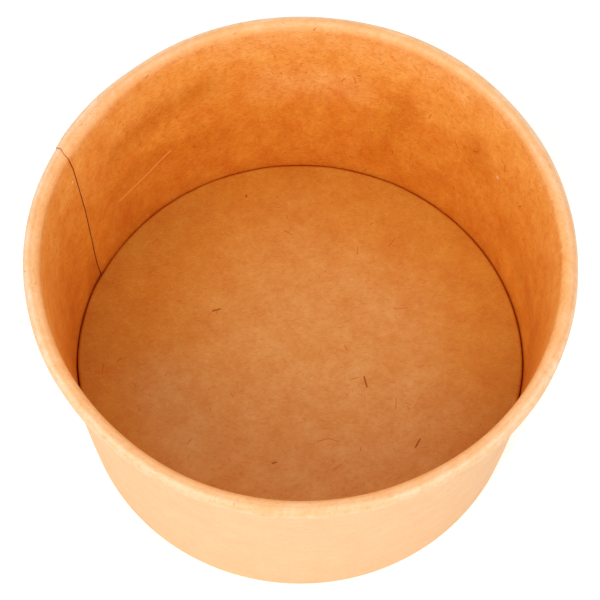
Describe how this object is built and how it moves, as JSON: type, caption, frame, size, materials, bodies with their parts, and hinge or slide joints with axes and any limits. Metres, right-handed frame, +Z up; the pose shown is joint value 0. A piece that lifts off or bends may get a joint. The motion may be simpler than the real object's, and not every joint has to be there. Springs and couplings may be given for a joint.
{
  "type": "paper ice cream tub",
  "caption": "Open kraft board tub with a tapered lapped side wall, a rolled rim and a recessed bottom disc held in a folded hem.",
  "frame": {"origin": "on the table plane under the middle of the tub", "axes": "+Z up through the middle of the tub, towards its open mouth; the side seam is 154 degrees round from +X towards +Y"},
  "size_m": [0.096, 0.096, 0.0538],
  "materials": {
    "kraft_wall": "smooth brown kraft board with a faint satin film, fine fibres and soft mottling",
    "kraft_disc": "brown kraft board, matt, with fine fibres and soft mottling"
  },
  "bodies": {
    "root": {"side_wall": "kraft_wall", "bottom_disc": "kraft_disc"}
  },
  "joints": []
}
